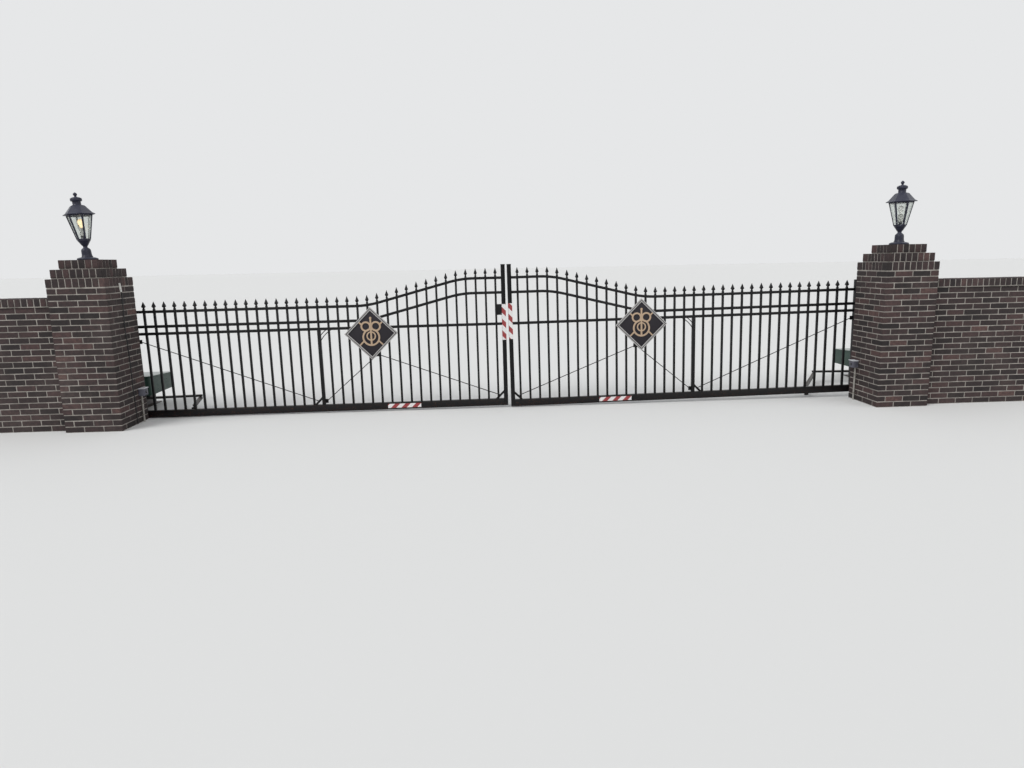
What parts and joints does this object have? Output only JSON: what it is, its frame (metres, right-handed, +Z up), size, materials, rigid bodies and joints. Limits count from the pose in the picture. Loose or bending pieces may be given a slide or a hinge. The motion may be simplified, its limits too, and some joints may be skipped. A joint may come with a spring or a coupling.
{
  "type": "wrought iron driveway gate with brick piers",
  "caption": "Double swing driveway gate of wrought iron between brick piers with lanterns, diamond ornaments and articulated arm operators.",
  "frame": {"origin": "centre of the whole gate's footprint on the drive's surface, in the middle of the opening", "axes": "+X to the right pier seen from the street, +Y into the grounds, +Z up"},
  "size_m": [13.046, 2.263, 2.6565],
  "materials": {
    "brickwork": "rough dark red-brown brick in pale mortar",
    "black_iron": "semi-gloss black paint",
    "lantern_glass": "clear seeded glass",
    "lamp": "warm frosted bulb",
    "green_paint": "satin dark green paint",
    "grey_plastic": "weathered grey plastic",
    "cable": "matt black sheath",
    "pale_grey_paint": "satin pale grey paint",
    "charcoal_paint": "matt charcoal paint",
    "gold_paint": "dull gold paint"
  },
  "bodies": {
    "posts": {"left_pier": "brickwork", "right_pier": "brickwork", "left_pier_cap": "brickwork", "right_pier_cap": "brickwork", "left_wing_wall": "brickwork", "right_wing_wall": "brickwork", "left_wall_coping": "brickwork", "right_wall_coping": "brickwork", "left_lantern_cage": "black_iron", "right_lantern_cage": "black_iron", "left_lantern_glass": "lantern_glass", "right_lantern_glass": "lantern_glass", "left_lantern_roof": "black_iron", "right_lantern_roof": "black_iron", "left_lantern_bulb": "lamp", "right_lantern_bulb": "lamp", "left_hinge_brackets": "black_iron", "right_hinge_brackets": "black_iron", "left_operator_stand": "black_iron", "right_operator_stand": "black_iron", "left_operator_cover": "green_paint", "right_operator_cover": "green_paint", "left_sensor": "grey_plastic", "right_sensor": "grey_plastic", "lamp_cable": "cable"},
    "left_leaf": {"left_hinge_stile": "black_iron", "left_meeting_stile": "black_iron", "left_bottom_rail": "black_iron", "left_upper_rails": "black_iron", "left_middle_post": "black_iron", "left_pickets": "black_iron", "left_braces": "black_iron", "left_diamond_frame": "pale_grey_paint", "left_diamond_plate": "charcoal_paint", "left_ornament": "gold_paint", "lock_box": "black_iron"},
    "left_crank_arm": {"left_crank": "black_iron"},
    "left_link_arm": {"left_link": "black_iron"},
    "right_leaf": {"right_hinge_stile": "black_iron", "right_meeting_stile": "black_iron", "right_bottom_rail": "black_iron", "right_upper_rails": "black_iron", "right_middle_post": "black_iron", "right_pickets": "black_iron", "right_braces": "black_iron", "right_diamond_frame": "pale_grey_paint", "right_diamond_plate": "charcoal_paint", "right_ornament": "gold_paint"},
    "right_crank_arm": {"right_crank": "black_iron"},
    "right_link_arm": {"right_link": "black_iron"}
  },
  "joints": [
    {"name": "left_leaf_swing", "type": "hinge", "parent": "posts", "child": "left_leaf", "pos_m": [-4.506, -0.4565, 0], "axis": [0, 0, 1], "range_deg": [0, 90]},
    {"name": "left_crank_turn", "type": "hinge", "parent": "posts", "child": "left_crank_arm", "pos_m": [-4.617, 0.0135, 0], "axis": [0, 0, 1], "range_deg": [0, 90]},
    {"name": "left_elbow_turn", "type": "hinge", "parent": "left_crank_arm", "child": "left_link_arm", "pos_m": [-3.987, 0.0835, 0], "axis": [0, 0, 1], "range_deg": [-90, 0]},
    {"name": "right_leaf_swing", "type": "hinge", "parent": "posts", "child": "right_leaf", "pos_m": [4.506, -0.4565, 0], "axis": [0, 0, -1], "range_deg": [0, 90]},
    {"name": "right_crank_turn", "type": "hinge", "parent": "posts", "child": "right_crank_arm", "pos_m": [5.1, 0.5035, 0], "axis": [0, 0, -1], "range_deg": [0, 90]},
    {"name": "right_elbow_turn", "type": "hinge", "parent": "right_crank_arm", "child": "right_link_arm", "pos_m": [4.47, 0.5735, 0], "axis": [0, 0, -1], "range_deg": [-90, 0]}
  ],
  "couplings": [
    {"joint": "left_crank_turn", "follows": "left_leaf_swing", "ratio": 1},
    {"joint": "left_elbow_turn", "follows": "left_leaf_swing", "ratio": -1},
    {"joint": "right_crank_turn", "follows": "right_leaf_swing", "ratio": 1},
    {"joint": "right_elbow_turn", "follows": "right_leaf_swing", "ratio": -1}
  ]
}
